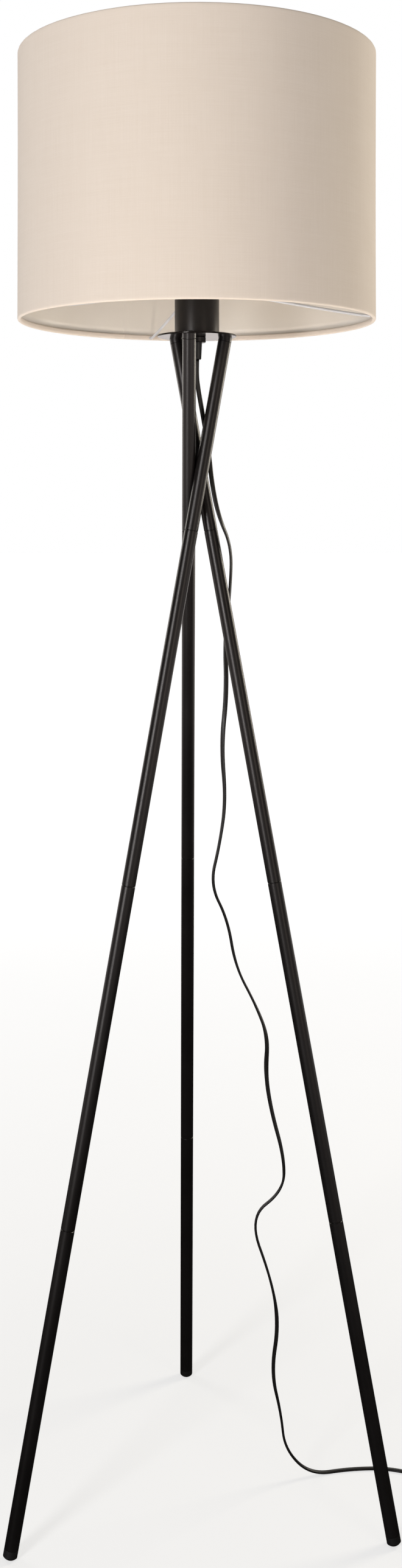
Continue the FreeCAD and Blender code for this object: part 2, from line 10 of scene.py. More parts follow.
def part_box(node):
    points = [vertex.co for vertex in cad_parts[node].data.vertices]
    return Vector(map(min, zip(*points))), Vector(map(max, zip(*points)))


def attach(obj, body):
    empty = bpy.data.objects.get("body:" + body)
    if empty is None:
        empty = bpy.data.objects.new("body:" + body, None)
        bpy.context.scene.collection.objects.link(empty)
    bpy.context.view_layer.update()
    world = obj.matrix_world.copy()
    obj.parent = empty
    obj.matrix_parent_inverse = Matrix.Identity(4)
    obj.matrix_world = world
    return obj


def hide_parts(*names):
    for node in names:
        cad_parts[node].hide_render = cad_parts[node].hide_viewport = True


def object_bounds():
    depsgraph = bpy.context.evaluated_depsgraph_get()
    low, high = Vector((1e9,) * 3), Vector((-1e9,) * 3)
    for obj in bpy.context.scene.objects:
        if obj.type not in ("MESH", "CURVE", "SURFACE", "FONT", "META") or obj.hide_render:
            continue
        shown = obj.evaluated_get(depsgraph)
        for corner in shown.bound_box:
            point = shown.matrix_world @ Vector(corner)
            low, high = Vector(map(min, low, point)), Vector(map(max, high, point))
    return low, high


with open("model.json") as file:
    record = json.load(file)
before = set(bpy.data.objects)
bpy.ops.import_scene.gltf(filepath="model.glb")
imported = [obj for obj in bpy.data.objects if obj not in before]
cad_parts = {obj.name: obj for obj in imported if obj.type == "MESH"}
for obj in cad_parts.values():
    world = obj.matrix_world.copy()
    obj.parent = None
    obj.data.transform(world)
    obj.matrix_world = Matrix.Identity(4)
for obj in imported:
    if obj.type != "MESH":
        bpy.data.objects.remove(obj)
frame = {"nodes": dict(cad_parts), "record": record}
CAD_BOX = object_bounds()
NODES = frame["nodes"]
MM = 0.001
UP = Vector((0, 0, 1))


# ---------------------------------------------------------------- camera

CAMERA_PLACE = (0.0, -1.7279, 1.0371)
SENSOR_WIDTH, FOCAL_LENGTH = 36.0, 37.2  # mm
SHIFT_X, SHIFT_Y = 0.0026, -0.1728
FAR_CLIP = 200.0


def add_camera():
    """A level camera, below the shade. Its lens shift frames the lamp down to its feet."""
    data = bpy.data.cameras.new("camera")
    data.sensor_width = SENSOR_WIDTH
    data.lens = FOCAL_LENGTH
    data.shift_x = SHIFT_X
    data.shift_y = SHIFT_Y
    data.clip_end = FAR_CLIP
    camera = bpy.data.objects.new("camera", data)
    camera.location = CAMERA_PLACE
    camera.rotation_euler = (math.radians(90), 0, 0)
    bpy.context.scene.collection.objects.link(camera)
    bpy.context.scene.camera = camera


# ---------------------------------------------------------------- mesh tools

def new_piece(name, vertices, faces, uvs=None, smooth=True):
    """A mesh object. uvs holds one (u, v) in metres for each corner of each face."""
    mesh = bpy.data.meshes.new(name)
    mesh.from_pydata(vertices, [], faces)
    if uvs:
        layer = mesh.uv_layers.new(name="surface")
        for loop, uv in zip(layer.data, uvs):
            loop.uv = uv
    mesh.validate()
    if smooth:
        mesh.shade_smooth()
    piece = bpy.data.objects.new(name, mesh)
    bpy.context.scene.collection.objects.link(piece)
    return piece


def polar(radius, angle, height):
    """A point about the lamp's axis. Angle 0 looks at the viewer's side, and 90 degrees is +X."""
    return Vector((radius * math.sin(angle), -radius * math.cos(angle), height))


def outline_lengths(outline):
    """How far along a closed outline each of its points is, with the whole length last."""
    along = [0.0]
    for here, there in zip(outline, outline[1:] + outline[:1]):
        along.append(along[-1] + math.dist(here, there))
    return along


def lathe(name, outline, angles, shape=None, uv_radius=0.19):
    """A closed (radius, height) outline turned about the lamp's axis through these angles.

    shape moves a point: it takes radius, height and angle and returns radius and height."""
    rings = []
    for angle in angles:
        for radius, height in outline:
            if shape:
                radius, height = shape(radius, height, angle)
            rings.append(polar(radius, angle, height))
    count, along = len(outline), outline_lengths(outline)
    around = list(angles) + [angles[0] + math.tau]
    faces, uvs = [], []
    for i in range(len(angles)):
        following = (i + 1) % len(angles)
        for j in range(count):
            k = (j + 1) % count
            faces.append((i * count + j, following * count + j, following * count + k, i * count + k))
            left, right = around[i] * uv_radius, around[i + 1] * uv_radius
            uvs += [(left, along[j]), (right, along[j]), (right, along[j + 1]), (left, along[j + 1])]
    return new_piece(name, rings, faces, uvs)


def spaced_angles(count):
    return [math.tau * i / count for i in range(count)]


def carried_frames(line):
    """A tangent and a side direction at each point of a line, carried along it without twist."""
    tangents = []
    for i in range(len(line)):
        ahead, behind = line[min(i + 1, len(line) - 1)], line[max(i - 1, 0)]
        tangents.append((ahead - behind).normalized())
    side = tangents[0].orthogonal().normalized()
    frames = []
    for tangent in tangents:
        side = (side - tangent * side.dot(tangent)).normalized()
        frames.append((tangent, side))
    return frames


def sweep(line, frames, outline, scales=None):
    """Vertices and faces of a closed 2D outline carried along a line, with its ends closed."""
    vertices, faces, count = [], [], len(outline)
    scales = scales or [1.0] * len(line)
    for point, (tangent, side), scale in zip(line, frames, scales):
        across = tangent.cross(side)
        vertices += [point + (side * x + across * y) * scale for x, y in outline]
    for i in range(len(line) - 1):
        for j in range(count):
            k = (j + 1) % count
            faces.append((i * count + j, i * count + k, (i + 1) * count + k, (i + 1) * count + j))
    faces.append(tuple(reversed(range(count))))
    faces.append(tuple(range((len(line) - 1) * count, len(line) * count)))
    return vertices, faces


def circle(radius, count):
    return [(radius * math.cos(a), radius * math.sin(a)) for a in spaced_angles(count)]


def even_steps(low, high, count):
    return [low + (high - low) * i / count for i in range(count + 1)]


def tube_outline(outer, inner, heights):
    """The closed outline of a tube's wall, up its outside and down its inside."""
    return [(outer, z) for z in heights] + [(inner, z) for z in reversed(heights)]


def smooth_step(low, high, value):
    share = min(1.0, max(0.0, (value - low) / (high - low)))
    return share * share * (3 - 2 * share)


# ---------------------------------------------------------------- cord

CORD_WIDTH = 0.0052
CORD_THICKNESS = 0.0028
CORD_EXIT = (0.0, 0.0, 1.2008)
CORD_SIDES = 20
CORD_STEPS = 10  # along the line, for each of its control points
DIP, DIP_WIDTH = 0.10, 0.32  # the shallow valley along each face, as shares of the half sizes
SQUARENESS = 0.72
LYING, HUNG = 0.010, 0.050  # heights between which the cord turns from flat to hanging
FLAT = 0.00145  # the middle of a cord that lies flat on the floor
STACKED = 0.0043  # the middle of a cord that lies on another

HANGING = (
    CORD_EXIT, (-0.0006, 0, 1.186), (0.0012, 0.002, 1.170), (0.0062, 0.007, 1.143),
    (0.0125, 0.009, 1.106), (0.016, 0.001, 1.068), (0.023, -0.002, 1.034),
    (0.037, 0.002, 1.001), (0.036, 0.008, 0.958), (0.030, 0.010, 0.904),
    (0.032, 0.008, 0.845), (0.026, 0.006, 0.788), (0.031, 0.003, 0.730), (0.024, 0.002, 0.682),
    (0.014, 0.004, 0.640), (0.033, 0.006, 0.602), (0.041, 0.006, 0.552), (0.0625, 0.005, 0.512),
    (0.076, 0.003, 0.478), (0.073, 0.002, 0.440), (0.079, 0.001, 0.400), (0.093, 0, 0.350),
    (0.0925, -0.001, 0.315), (0.055, -0.002, 0.287), (0.079, -0.003, 0.222), (0.087, -0.005, 0.175),
    (0.079, -0.002, 0.122), (0.090, 0.004, 0.074), (0.094, 0.010, 0.033), (0.122, 0.017, FLAT),
    (0.166, 0.028, FLAT), (0.208, 0.029, FLAT), (0.244, 0.014, FLAT), (0.257, -0.015, 0.0032),
    (0.2545, -0.044, 0.0060), (0.2545, -0.104, 0.0060), (0.256, -0.134, 0.0032),
    (0.2548, -0.162, FLAT),
)
COIL_CENTRE = Vector((0.286, -0.166))
COIL_TURNS = 3.5
TURN_POINTS = 14
WIDE, NARROW = 0.0312, 0.0260
COIL_STEPS = (  # turns, radius, height
    (0.0, WIDE, FLAT), (0.70, WIDE, FLAT), (1.0, NARROW, FLAT), (1.62, NARROW, FLAT),
    (1.88, NARROW, STACKED), (2.45, NARROW, STACKED), (2.72, WIDE, STACKED),
    (COIL_TURNS, WIDE, STACKED),
)
CORD_TWIST = (  # height, degrees
    (1.200, 24), (1.060, 26), (1.000, 68), (0.960, 66), (0.900, 30), (0.850, 4),
    (0.773, -40), (0.735, -58), (0.682, -70), (0.573, -72), (0.521, -90), (0.495, -108),
    (0.470, -140), (0.450, -154), (0.430, -136), (0.391, -126), (0.340, -114), (0.313, -92),
    (0.240, -90), (0.210, -78), (0.180, -52), (0.120, -60), (0.050, -88), (0.0, -90),
)
CORD_END = ((0.3172, -0.158, 0.0058), (0.3172, -0.150, 0.00685), (0.3172, -0.1435, 0.00685))


def coil_points():
    """The put-away length: a neat flat coil, wound anticlockwise from its leftmost point."""
    points = []
    for i in range(1, int(COIL_TURNS * TURN_POINTS) + 1):
        turns = i / TURN_POINTS
        for (start, r0, z0), (end, r1, z1) in zip(COIL_STEPS, COIL_STEPS[1:]):
            if start <= turns <= end:
                share = smooth_step(start, end, turns)
                radius, height = r0 + (r1 - r0) * share, z0 + (z1 - z0) * share
        angle = math.pi + turns * math.tau
        flat = COIL_CENTRE + radius * Vector((math.cos(angle), math.sin(angle)))
        points.append((flat.x, flat.y, height))
    return points


def nurbs_line(name, points, resolution):
    """The points of a smooth line that has these as its control points."""
    data = bpy.data.curves.new(name, "CURVE")
    data.dimensions = "3D"
    spline = data.splines.new("NURBS")
    spline.points.add(len(points) - 1)
    for control, point in zip(spline.points, points):
        control.co = (*point, 1.0)
    spline.order_u = 3
    spline.use_endpoint_u = True
    spline.resolution_u = resolution
    carrier = bpy.data.objects.new(name, data)
    mesh = bpy.data.meshes.new_from_object(carrier)
    line = [vertex.co.copy() for vertex in mesh.vertices]
    bpy.data.meshes.remove(mesh)
    bpy.data.curves.remove(data)
    return line


def cord_outline():
    """A flat two-core sheath: an oval with a shallow dip along each face."""
    outline = []
    for angle in spaced_angles(CORD_SIDES):
        x, y = math.cos(angle), math.sin(angle)
        dip = 1.0 - DIP * math.exp(-(x / DIP_WIDTH) ** 2)
        flatten = abs(y) ** SQUARENESS * (1 if y >= 0 else -1)
        outline.append((x * CORD_WIDTH / 2, flatten * dip * CORD_THICKNESS / 2))
    return outline


def cord_twist(height):
    """Which way the cord's width points at a height, in radians: 0 is along X, and 90 degrees along Y."""
    for (upper, before), (lower, after) in zip(CORD_TWIST, CORD_TWIST[1:]):
        if height >= lower:
            return math.radians(after + (before - after) * smooth_step(lower, upper, height))
    return math.radians(CORD_TWIST[-1][1])


def cord_frames(line):
    """The cord's side direction: as cord_twist says where it hangs, and level where it lies."""
    frames = []
    for point, (tangent, _) in zip(line, carried_frames(line)):
        angle = cord_twist(point.z)
        hanging = Vector((math.cos(angle), math.sin(angle), 0))
        hanging = (hanging - tangent * hanging.dot(tangent)).normalized()
        level = tangent.cross(UP)
        share = 1 - smooth_step(LYING, HUNG, point.z)
        side = hanging.lerp(level.normalized() if level.length > 0.01 else hanging, share)
        frames.append((tangent, (side - tangent * side.dot(tangent)).normalized()))
    return frames


def add_cord(foot_button):
    """The flat cord from the sleeve to the plug, with the foot switch and the plug on it."""
    line = nurbs_line("cord_line", [*HANGING, *coil_points(), *CORD_END], CORD_STEPS)
    piece = new_piece("mains_cord", *sweep(line, cord_frames(line), cord_outline()))
    dress(piece, "stand", "cord_sheath", "cord_hanging", "cord_tail", "cord_coil", "cord_end")


# ---------------------------------------------------------------- materials

def node(material, kind, inputs=None, **settings):
    """A shader node. An input's value is a number, a colour or another node's output."""
    made = material.node_tree.nodes.new(kind)
    for name, value in settings.items():
        setattr(made, name, value)
    for name, value in (inputs or {}).items():
        if isinstance(value, bpy.types.NodeSocket):
            material.node_tree.links.new(value, made.inputs[name])
        else:
            made.inputs[name].default_value = value
    return made


def principled(name, **constants):
    """A new material, and its shader with these constants set on its own sockets."""
    material = bpy.data.materials.new(name)
    material.use_nodes = True
    shader = material.node_tree.nodes["Principled BSDF"]
    for socket, value in constants.items():
        shader.inputs[socket.replace("_", " ")].default_value = value
    return material, shader


def wire_in(material, shader, **sockets):
    for name, value in sockets.items():
        material.node_tree.links.new(value, shader.inputs[name.replace("_", " ")])


def coordinates(material, output="Object", scale=(1, 1, 1)):
    """A texture place in metres, or on another output, stretched by a scale for each axis."""
    source = node(material, "ShaderNodeTexCoord").outputs[output]
    if scale == (1, 1, 1):
        return source
    return node(material, "ShaderNodeMapping", {"Vector": source, "Scale": scale}).outputs[0]


def noise(material, place, scale, detail=2.0, roughness=0.5):
    inputs = {"Vector": place, "Scale": scale, "Detail": detail, "Roughness": roughness}
    return node(material, "ShaderNodeTexNoise", inputs).outputs["Fac"]


def ranged(material, value, low, high, from_low=0.3, from_high=0.7):
    """A value carried from one range to another. A noise mostly lies between 0.3 and 0.7."""
    inputs = {
        "Value": value, "From Min": from_low, "From Max": from_high, "To Min": low, "To Max": high,
    }
    return node(material, "ShaderNodeMapRange", inputs).outputs[0]


def blended(material, share, first, second):
    mixer = node(material, "ShaderNodeMix", data_type="RGBA")
    for index, value in ((0, share), (6, first), (7, second)):
        if isinstance(value, bpy.types.NodeSocket):
            material.node_tree.links.new(value, mixer.inputs[index])
        else:
            mixer.inputs[index].default_value = value
    return mixer.outputs[2]


def maths(material, operation, first, second=0.0):
    made = node(material, "ShaderNodeMath", operation=operation)
    for index, value in ((0, first), (1, second)):
        if isinstance(value, bpy.types.NodeSocket):
            material.node_tree.links.new(value, made.inputs[index])
        else:
            made.inputs[index].default_value = value
    return made.outputs[0]


def bump(material, height, strength, distance, under=None):
    inputs = {"Height": height, "Strength": strength, "Distance": distance}
    if under is not None:
        inputs["Normal"] = under
    return node(material, "ShaderNodeBump", inputs).outputs[0]


def grey(value, warm=1.0):
    """A grey that leans to red where warm is above 1."""
    return (value * warm, value, value / warm, 1.0)


BROWN_BLACK, WORN_BLACK = (0.0036, 0.0029, 0.0028, 1), (0.0056, 0.0046, 0.0045, 1)
SHEATH_BLACK, SHEATH_BLOOM = (0.0052, 0.0043, 0.0041, 1), (0.0090, 0.0077, 0.0073, 1)
COOL_WHITE, YELLOWED_WHITE = (0.60, 0.60, 0.63, 1), (0.52, 0.51, 0.52, 1)
# The second cream is the darker yarn of slubs and mottle, and also the painted shade between the cloth's
# threads.
CREAM_THREAD, CREAM_DARK_YARN_AND_SHADE = (0.800, 0.705, 0.622, 1), (0.710, 0.605, 0.510, 1)
FILM_WHITE, FILM_AGED = (0.76, 0.71, 0.65, 1), (0.70, 0.64, 0.57, 1)
THREAD_PITCH = 0.00062
CLOTH_GLOW = 0.10  # the share of the cloth's light that comes through it
LEG_ROUGHNESS = (0.31, 0.38)
PLATE_ROUGHNESS = (0.13, 0.17)  # the plate is smoother than the legs


def painted_metal(name="black_powder_coat", roughness=LEG_ROUGHNESS):
    """Satin black powder coat: a fine orange peel, with faint rubbed and dusty patches."""
    material, shader = principled(
        name, Specular_IOR_Level=0.40, Specular_Tint=(1.0, 0.95, 0.94, 1)
    )
    place = coordinates(material)
    peel = noise(material, place, 900.0, 2.0)
    patches = noise(material, place, 14.0, 5.0, 0.6)
    grain = noise(material, place, 3200.0, 1.0)
    colour = blended(material, ranged(material, patches, 0, 1), BROWN_BLACK, WORN_BLACK)
    rough = ranged(material, patches, *roughness)
    relief = bump(material, peel, 0.22, 0.00010)
    relief = bump(material, grain, 0.12, 0.00003, relief)
    wire_in(material, shader, Base_Color=colour, Roughness=rough, Normal=relief)
    return material


def moulded(name, dark, light, rough, texture_scale=2600.0, strength=0.25):
    """Moulded plastic or rubber: a fine spark-eroded texture and slight flow marks."""
    material, shader = principled(name, Specular_IOR_Level=0.45)
    place = coordinates(material)
    flow = noise(material, place, 45.0, 3.0)
    texture = noise(material, place, texture_scale, 2.0, 0.7)
    colour = blended(material, ranged(material, flow, 0, 1), dark, light)
    relief = bump(material, texture, strength, 0.00005)
    rough_value = ranged(material, flow, rough - 0.04, rough + 0.06)
    wire_in(material, shader, Base_Color=colour, Roughness=rough_value, Normal=relief)
    return material


def bare_metal(name, dark, light, rough, grain=(60, 60, 4000)):
    """Plated metal with fine drawing marks and duller, slightly darker patches."""
    material, shader = principled(name, Metallic=1.0)
    lines = noise(material, coordinates(material, scale=grain), 1.0, 3.0, 0.6)
    patches = noise(material, coordinates(material), 160.0, 4.0)
    colour = blended(material, ranged(material, patches, 0, 1), dark, light)
    rough_value = ranged(material, patches, rough - 0.06, rough + 0.10)
    relief = bump(material, lines, 0.25, 0.00003)
    wire_in(material, shader, Base_Color=colour, Roughness=rough_value, Normal=relief)
    return material


def cord_sheath():
    """Black flexible vinyl with a soft gloss, a faint bloom and a fine matt texture."""
    material, shader = principled("black_cord_sheath", Specular_IOR_Level=0.4)
    place = coordinates(material)
    bloom = noise(material, place, 90.0, 4.0, 0.6)
    texture = noise(material, place, 1800.0, 2.0)
    colour = blended(material, ranged(material, bloom, 0, 1), SHEATH_BLACK, SHEATH_BLOOM)
    rough = ranged(material, bloom, 0.36, 0.50)
    relief = bump(material, texture, 0.2, 0.00005)
    wire_in(material, shader, Base_Color=colour, Roughness=rough, Normal=relief)
    return material


def white_enamel():
    """The shade frame's white dipped enamel, with slight runs and thin yellowed places."""
    material, shader = principled("white_wire_enamel", Coat_Weight=0.2, Coat_Roughness=0.2)
    place = coordinates(material)
    runs = noise(material, place, 220.0, 3.0)
    thin = noise(material, place, 40.0, 4.0)
    colour = blended(material, ranged(material, thin, 0, 1), COOL_WHITE, YELLOWED_WHITE)
    rough = ranged(material, runs, 0.34, 0.46)
    relief = bump(material, runs, 0.3, 0.00015)
    wire_in(material, shader, Base_Color=colour, Roughness=rough, Normal=relief)
    return material


def stretched_noises(material, stretches, roughness):
    """The sum of two noises on the cloth, one drawn out along it and one up it."""
    first, second = (
        noise(material, coordinates(material, "UV", stretch), 1.0, 3.0, roughness)
        for stretch in stretches
    )
    return maths(material, "ADD", first, second)


def shade_cloth():
    """Plain-woven cream cloth: threads with painted shade between them, slubs both ways, a little sheen,
    and light through it.
    """
    material, shader = principled(
        "cream_shade_cloth", Sheen_Weight=0.18, Sheen_Roughness=0.5, Specular_IOR_Level=0.2
    )
    place = coordinates(material, "UV")
    apart = node(material, "ShaderNodeSeparateXYZ", {"Vector": place})
    threads = []
    for axis in (0, 1):
        turn = maths(material, "MULTIPLY", apart.outputs[axis], math.pi / THREAD_PITCH)
        threads.append(maths(material, "ABSOLUTE", maths(material, "SINE", turn)))
    over = node(
        material, "ShaderNodeTexChecker",
        {"Vector": place, "Scale": 1 / THREAD_PITCH, "Color1": (0, 0, 0, 1), "Color2": (1, 1, 1, 1)},
    ).outputs["Fac"]
    weave = blended(material, over, threads[0], threads[1])
    slubs = stretched_noises(material, ((14, 1500, 1), (1500, 14, 1)), 0.65)
    bands = stretched_noises(material, ((5, 160, 1), (160, 5, 1)), 0.6)
    mottle = noise(material, place, 30.0, 5.0, 0.65)
    darker = ranged(material, slubs, 0, 0.30, 0.8, 1.25)
    darker = maths(material, "ADD", darker, ranged(material, bands, 0, 0.09, 0.8, 1.2))
    darker = maths(material, "ADD", darker, ranged(material, mottle, 0, 0.10))
    # Painted shade between the threads: the cream darkens where the top thread curves away at its edges.
    painted_thread_shade = maths(material, "MULTIPLY", maths(material, "SUBTRACT", 1.0, weave), 0.35)
    darker = maths(material, "ADD", darker, painted_thread_shade)
    colour = blended(material, darker, CREAM_THREAD, CREAM_DARK_YARN_AND_SHADE)
    relief = bump(material, weave, 0.35, 0.00012)
    relief = bump(material, slubs, 0.35, 0.00010, relief)
    relief = bump(material, mottle, 0.10, 0.0008, relief)
    rough = ranged(material, mottle, 0.80, 0.92)
    wire_in(material, shader, Base_Color=colour, Roughness=rough, Normal=relief)
    through = node(material, "ShaderNodeBsdfTranslucent", {"Color": colour})
    both = node(material, "ShaderNodeMixShader", {"Fac": CLOTH_GLOW})
    material.node_tree.links.new(shader.outputs[0], both.inputs[1])
    material.node_tree.links.new(through.outputs[0], both.inputs[2])
    material.node_tree.links.new(both.outputs[0], material.node_tree.nodes["Material Output"].inputs[0])
    return material


def shade_film():
    """The shade's white vinyl lining: satin, faintly wavy, with a fine matt grain."""
    material, shader = principled("white_shade_film", Specular_IOR_Level=0.5)
    place = coordinates(material)
    waves = noise(material, place, 16.0, 2.0)
    grain = noise(material, place, 2200.0, 2.0)
    age = noise(material, place, 6.0, 4.0)
    colour = blended(material, ranged(material, age, 0, 1), FILM_WHITE, FILM_AGED)
    rough = ranged(material, waves, 0.36, 0.44)
    relief = bump(material, waves, 0.35, 0.0020)
    relief = bump(material, grain, 0.15, 0.00005, relief)
    wire_in(material, shader, Base_Color=colour, Roughness=rough, Normal=relief)
    return material


FINISHES = {
    "black_metal": painted_metal(),
    "black_rubber": moulded("black_rubber_foot", BROWN_BLACK, WORN_BLACK, 0.55, 1500.0, 0.4),
    "black_plastic": moulded("black_moulded_plastic", grey(0.010), grey(0.015), 0.38),
    "dark_resin": moulded("dark_holder_resin", grey(0.012, 1.1), grey(0.020, 1.1), 0.30, 1800.0, 0.15),
    "cord_sheath": cord_sheath(),
    "core_insulation": moulded("core_insulation", (0.10, 0.05, 0.03, 1), (0.14, 0.07, 0.04, 1), 0.4),
    "zinc_steel": bare_metal("zinc_plated_steel", grey(0.50, 1.03), grey(0.62, 1.02), 0.34),
    "nickel_plate": bare_metal("nickel_plate", grey(0.58, 1.04), grey(0.70, 1.03), 0.22),
    "brass": bare_metal("brass", (0.62, 0.44, 0.17, 1), (0.72, 0.53, 0.22, 1), 0.26),
    "shade_cloth": shade_cloth(),
    "shade_film": shade_film(),
    "white_wire": white_enamel(),
}


def paint(piece, finish):
    piece.data.materials.clear()
    piece.data.materials.append(finish)


def dress(piece, body, slot, *replaced):
    """Gives a piece its finish and its body, and hides the CAD nodes that it stands for."""
    paint(piece, FINISHES[slot])
    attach(piece, body)
    if replaced:
        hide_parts(*replaced)


def dress_cad():
    """Every CAD node takes its slot's finish, and the plate a smoother coat of the same paint."""
    for part in frame["record"]["subparts"]:
        paint(NODES[part["node"]], FINISHES[part["material_slot"]])
    paint(NODES["top_plate"], painted_metal("black_plate_coat", PLATE_ROUGHNESS))


# ---------------------------------------------------------------- shade

SHADE_BOTTOM, SHADE_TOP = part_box("shade_fabric")[0].z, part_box("shade_fabric")[1].z
CLOTH_RADIUS = 0.18975  # to the middle of the cloth
CLOTH_HALF = 0.00025
CLOTH_ROWS = 14
BEAD_RADIUS = 0.00165
BEAD_HEIGHT = 0.0019  # the middle of the wire in the hem, above the shade's edge
HEM_INSIDE = (  # radius, height: the turned-in cloth, from its edge down to the wire
    (0.18862, 0.0057), (0.18800, 0.00565), (0.18710, 0.0055), (0.18660, 0.0050), (0.18646, 0.0040),
)
HEM_OUTSIDE = (0.004, 0.010, 0.020)  # heights on the cloth's wall
PUCKER, PUCKER_REACH = 0.00008, 0.012
FILM_OUTER, FILM_INNER = 0.18940, 0.18890
FILM_EDGE = 0.0026  # from the shade's edge to the film's
FILM_ROWS = 24
FILM_LAP_STEP = 0.0002
SEAM_ANGLE = math.radians(207.0)
SEAM_LAP = 0.009
SEAM_RISE = 0.0018
SEAM_CLEAR = 0.008  # radians kept free of the even steps at each side of the seam's own
SEAM_STEPS = (-11, -10, -9, -8.4, -7.8, -7.2, -6, -4, -2, -0.8, -0.25, 0.0, 0.12, 0.4, 1, 2, 3.5)  # mm


def shade_angles(count=288):
    """Even steps round the shade, with fine ones at its lapped seam."""
    seam = [SEAM_ANGLE + step * MM / CLOTH_RADIUS for step in SEAM_STEPS]
    low, high = seam[0] - SEAM_CLEAR, seam[-1] + SEAM_CLEAR
    even = [a for a in spaced_angles(count) if not low < a < high]
    return sorted(even + seam)


def lapped(angle, thickness):
    """How far the lap lifts a layer: a soft rise over the hidden edge, and a cut edge at the end."""
    distance = (angle - SEAM_ANGLE) * CLOTH_RADIUS
    if distance > 0.1 * MM:
        return 0.0
    return thickness * smooth_step(-SEAM_LAP, -SEAM_LAP + SEAM_RISE, distance)


def uneven(angle, height):
    """A stretched drum is never quite round: a fraction of a millimetre in and out."""
    share = (height - SHADE_BOTTOM) / (SHADE_TOP - SHADE_BOTTOM)
    waist = -0.35 * MM * math.sin(math.pi * share) * (1 + 0.5 * math.sin(5 * angle + 1.0))
    waves = 0.22 * MM * math.sin(3 * angle + 0.6) + 0.10 * MM * math.sin(8 * angle + 4 * share)
    return waist + waves


def hem_path():
    """The middle of the cloth from inside the bottom hem, round its wire and a little way up."""
    bead = CLOTH_RADIUS - BEAD_RADIUS
    path = list(HEM_INSIDE)
    for degrees in range(180, 361, 20):
        turn = math.radians(degrees)
        path.append((bead + BEAD_RADIUS * math.cos(turn), BEAD_HEIGHT + BEAD_RADIUS * math.sin(turn)))
    return path + [(CLOTH_RADIUS, height) for height in HEM_OUTSIDE]


def thick_outline(path, half):
    """The closed outline of a sheet of this half thickness along a path."""
    sides = ([], [])
    for i, (radius, height) in enumerate(path):
        before, after = path[max(i - 1, 0)], path[min(i + 1, len(path) - 1)]
        along = Vector((after[0] - before[0], after[1] - before[1])).normalized()
        for side, sign in zip(sides, (-1, 1)):
            side.append((radius - sign * along.y * half, height + sign * along.x * half))
    return sides[0] + sides[1][::-1]


def cloth_outline():
    """The whole drum's cloth: a hem at the bottom, the wall, and the same hem at the top."""
    hem = hem_path()
    lower = [(radius, SHADE_BOTTOM + height) for radius, height in hem]
    upper = [(radius, SHADE_TOP - height) for radius, height in reversed(hem)]
    low, high = lower[-1][1], upper[0][1]
    wall = [(CLOTH_RADIUS, z) for z in even_steps(low, high, CLOTH_ROWS)[1:-1]]
    return thick_outline(lower + wall + upper, CLOTH_HALF)


def cloth_shape(radius, height, angle):
    """Lifts the cloth at its lap, waves it a little and puckers it at the hems."""
    pucker = PUCKER * math.sin(61 * angle + 2 * math.sin(7 * angle))
    near_rim = max(0.0, 1 - min(height - SHADE_BOTTOM, SHADE_TOP - height) / PUCKER_REACH)
    lift = lapped(angle, 2 * CLOTH_HALF + 0.2 * MM)
    outside = 1.0 if radius > CLOTH_RADIUS - 0.4 * MM else -0.6
    return radius + lift * outside + uneven(angle, height) + pucker * near_rim, height


def film_shape(radius, height, angle):
    """Waves the film with the cloth. Only its inner face shows the lap."""
    inner = radius < (FILM_OUTER + FILM_INNER) / 2
    step = lapped(angle, FILM_LAP_STEP) if inner else 0.0
    return radius - step + uneven(angle, height), height


def add_shade():
    """The drum's cloth and, inside it, the film that lines it."""
    cloth = lathe("shade_cloth_cover", cloth_outline(), shade_angles(), cloth_shape)
    dress(cloth, "shade", "shade_cloth", "shade_fabric")
    low, high = SHADE_BOTTOM + FILM_EDGE, SHADE_TOP - FILM_EDGE
    outline = tube_outline(FILM_OUTER, FILM_INNER, even_steps(low, high, FILM_ROWS))
    film = lathe("shade_film_lining", outline, shade_angles(), film_shape)
    dress(film, "shade", "shade_film", "shade_lining")


ARM_ANGLES = (76.9, 196.9, 316.9)
ARM_PATH = (
    (0.0246, 1.27300), (0.0300, 1.27190), (0.0560, 1.26660), (0.1000, 1.25780), (0.1450, 1.24890),
    (0.1740, 1.24370), (0.1800, 1.24290), (0.1840, 1.24240), (0.1852, 1.24210),
)
ARM_WIRE = 0.0015
ARM_TIP = (0.97, 0.86, 0.62)  # the rounded end's last sections, as shares of the wire
WELDS = (  # radius, height, half sizes
    (0.0249, 1.2729, (0.0012, 0.0027, 0.0014)), (0.1853, 1.2430, (0.0012, 0.0024, 0.0016)),
)
WELD_RINGS, WIRE_SIDES = 8, 14


def add_arms():
    """The shade frame's three wire arms: welded to the ring, and turned down inside the hem."""
    vertices, faces = [], []
    for degrees in ARM_ANGLES:
        angle = math.radians(degrees)
        line = nurbs_line("arm_line", [polar(r, angle, z) for r, z in ARM_PATH], 12)
        scales = [*[1.0] * (len(line) - len(ARM_TIP)), *ARM_TIP]
        parts = [sweep(line, carried_frames(line), circle(ARM_WIRE, WIRE_SIDES), scales)]
        parts += [weld(polar(radius, angle, z), angle, size) for radius, z, size in WELDS]
        for part_vertices, part_faces in parts:
            first = len(vertices)
            vertices += part_vertices
            faces += [tuple(first + v for v in face) for face in part_faces]
    dress(new_piece("shade_wire_arms", vertices, faces), "shade", "white_wire", "shade_spider_arms")


def weld(centre, angle, size, rings=WELD_RINGS, count=WIRE_SIDES):
    """A small flattened blob of weld, long across the arm."""
    vertices, faces = [], []
    turn = Matrix.Rotation(angle - math.pi / 2, 3, "Z")
    for i, polar_angle in enumerate(even_steps(0, math.pi, rings)):
        for a in spaced_angles(count):
            lump = 1 + 0.10 * math.sin(3 * a + i)
            x = size[0] * math.sin(polar_angle) * math.cos(a) * lump
            y = size[1] * math.cos(polar_angle)
            z = size[2] * math.sin(polar_angle) * math.sin(a) * lump
            vertices.append(centre + turn @ Vector((x, y, z)))
    for i in range(rings):
        for j in range(count):
            k = (j + 1) % count
            faces.append((i * count + j, i * count + k, (i + 1) * count + k, (i + 1) * count + j))
    return vertices, faces


# ---------------------------------------------------------------- lampholder and switch

